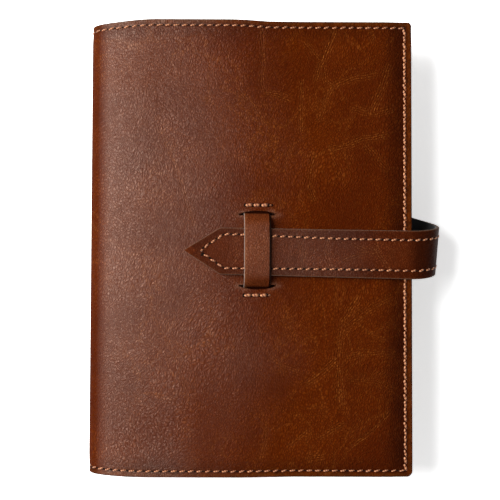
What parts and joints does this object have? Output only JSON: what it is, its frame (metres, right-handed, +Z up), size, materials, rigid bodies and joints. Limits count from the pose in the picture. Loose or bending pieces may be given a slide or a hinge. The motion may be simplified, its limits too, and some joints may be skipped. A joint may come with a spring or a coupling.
{
  "type": "leather planner",
  "caption": "Refillable leather planner cover round a paper insert, with a pointed strap that tucks under a keeper to hold it shut.",
  "frame": {"origin": "on the surface that the back cover lies on, under the middle of the whole object, strap loop included", "axes": "+X across the cover from the spine to the fore-edge, +Y along the spine, +Z up through the front cover"},
  "size_m": [0.1746, 0.222, 0.0329],
  "materials": {
    "cover_leather": "waxed pull-up, semi-gloss",
    "strap_leather": "waxed, satin",
    "sleeve_leather": "matt",
    "lining": "matt",
    "thread": "waxed",
    "card": "matt",
    "paper": "matt",
    "tape": "matt"
  },
  "bodies": {
    "back": {"back_cover": "cover_leather", "back_lining": "lining", "back_sleeve": "sleeve_leather", "back_edge_thread": "thread", "insert_back_cover": "card", "page_block": "paper", "spine_tape": "tape"},
    "spine": {"spine_cover": "cover_leather", "spine_lining": "lining", "spine_edge_thread": "thread", "insert_spine_cover": "card"},
    "front": {"front_cover": "cover_leather", "front_lining": "lining", "front_sleeve": "sleeve_leather", "front_edge_thread": "thread", "keeper": "cover_leather", "keeper_thread": "thread", "insert_front_cover": "card"},
    "strap": {"strap": "strap_leather", "strap_lining": "lining", "strap_thread": "thread"}
  },
  "joints": [
    {"name": "spine_hinge", "type": "hinge", "parent": "back", "child": "spine", "pos_m": [-0.08454, 0, 0.006], "axis": [0, -1, 0], "range_deg": [0, 90]},
    {"name": "cover_hinge", "type": "hinge", "parent": "spine", "child": "front", "pos_m": [-0.08129, 0, 0.02374], "axis": [0, -1, 0], "range_deg": [0, 90]},
    {"name": "strap_draw", "type": "slide", "parent": "back", "child": "strap", "axis": [1, 0, 0], "range_m": [0, 0.043], "deforming": ["strap", "strap_lining", "strap_thread"]}
  ]
}
